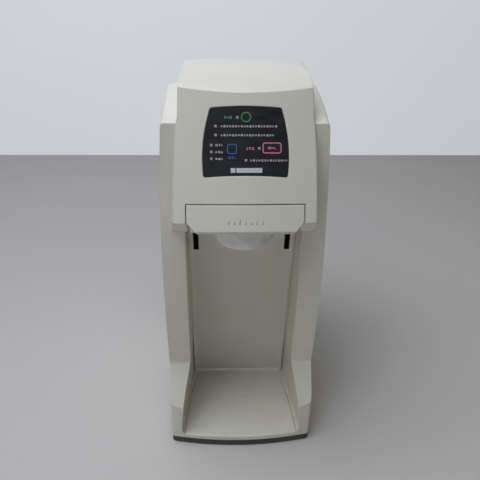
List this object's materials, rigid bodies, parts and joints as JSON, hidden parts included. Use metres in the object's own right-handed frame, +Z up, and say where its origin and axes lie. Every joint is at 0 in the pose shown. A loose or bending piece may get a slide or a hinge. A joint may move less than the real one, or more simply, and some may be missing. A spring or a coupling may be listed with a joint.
{
  "type": "portion cup soft ice cream dispenser",
  "caption": "Counter-top dispenser: off-white tower with an open serving bay, a pull-out cup drawer, a push-button panel and a motor-driven screw press inside.",
  "frame": {"origin": "Middle of the footprint box, on the surface that the feet stand on.", "axes": "+Z up. +Y to the back, so the front with the panel and drawer faces -Y. +X to the right of a person facing the front."},
  "size_m": [0.238, 0.385, 0.622],
  "materials": {
    "ivory_plastic": "satin moulded off-white plastic",
    "ivory_trim": "fine grained off-white plastic",
    "panel_black": "smooth dark film panel",
    "lens_clear": "small clear lens",
    "lamp_green": "indicator body",
    "key_black": "smooth dark key",
    "skirt_brown": "dark brown trim",
    "foot_rubber": "grey black rubber",
    "slot_black": "dark lining",
    "sheet_steel": "zinc plated sheet",
    "bright_steel": "ground steel",
    "light_metal": "machined aluminium",
    "nut_bronze": "bronze nut",
    "cup_clear": "milky see-through plastic",
    "white_plastic": "food grade white plastic",
    "board_green": "circuit board",
    "motor_dark": "dark enamel",
    "socket_black": "dark socket"
  },
  "bodies": {
    "housing": {"rubber_feet": "foot_rubber", "foot_skirt": "skirt_brown", "base_pan": "sheet_steel", "base_tray": "ivory_plastic", "right_side_cover": "ivory_plastic", "left_side_cover": "ivory_plastic", "rear_cover": "ivory_plastic", "cover_screws": "bright_steel", "bay_back_panel": "ivory_trim", "slot_linings": "slot_black", "head_cover": "ivory_plastic", "control_panel": "panel_black", "lamp_windows": "lens_clear", "indicator_lamps": "lamp_green", "control_board": "board_green", "board_posts": "white_plastic", "key_contacts": "socket_black", "left_drawer_rail": "light_metal", "right_drawer_rail": "light_metal", "screw_bearings": "bright_steel", "guide_rods": "bright_steel", "motor_gearbox": "light_metal", "press_motor": "motor_dark", "chassis_plate": "sheet_steel", "bracket_screws": "bright_steel", "lower_bracket": "sheet_steel", "upper_bracket": "sheet_steel", "power_supply": "light_metal", "drawer_switch": "socket_black", "mains_inlet": "socket_black"},
    "drawer": {"drawer_front": "ivory_plastic", "drawer_table": "ivory_trim", "left_drawer_arm": "white_plastic", "right_drawer_arm": "white_plastic", "portion_cup": "cup_clear", "star_nozzle": "white_plastic"},
    "press": {"press_piston": "white_plastic", "piston_rod": "bright_steel", "crosshead": "light_metal", "screw_nut": "nut_bronze"},
    "screw": {"lead_screw": "bright_steel", "screw_gear": "bright_steel"},
    "pinion": {"motor_pinion": "bright_steel"},
    "power_button": {"power_key": "key_black"},
    "speed_button": {"speed_key": "key_black"},
    "dispense_button": {"dispense_key": "key_black"}
  },
  "joints": [
    {"name": "drawer_slide", "type": "slide", "parent": "housing", "child": "drawer", "axis": [0, -1, 0], "range_m": [0, 0.096]},
    {"name": "press_slide", "type": "slide", "parent": "housing", "child": "press", "axis": [0, 0, -1], "range_m": [0, 0.03]},
    {"name": "screw_spin", "type": "hinge", "parent": "housing", "child": "screw", "pos_m": [0, -0.06497, 0.5], "axis": [0, 0, 1], "range_deg": [-1, 690]},
    {"name": "pinion_spin", "type": "hinge", "parent": "housing", "child": "pinion", "pos_m": [0, -0.02497, 0.56], "axis": [0, 0, 1], "range_deg": [-1600, 1]},
    {"name": "power_press", "type": "slide", "parent": "housing", "child": "power_button", "axis": [0, 0.9382, -0.346], "range_m": [0, 0.0008], "stiffness_N_per_m": 300},
    {"name": "speed_press", "type": "slide", "parent": "housing", "child": "speed_button", "axis": [0, 0.9382, -0.346], "range_m": [0, 0.0008], "stiffness_N_per_m": 300},
    {"name": "dispense_press", "type": "slide", "parent": "housing", "child": "dispense_button", "axis": [0, 0.9382, -0.346], "range_m": [0, 0.0008], "stiffness_N_per_m": 300}
  ],
  "couplings": [
    {"joint": "screw_spin", "follows": "press_slide", "rad_per_m": 392.7},
    {"joint": "pinion_spin", "follows": "press_slide", "rad_per_m": -916.3}
  ]
}
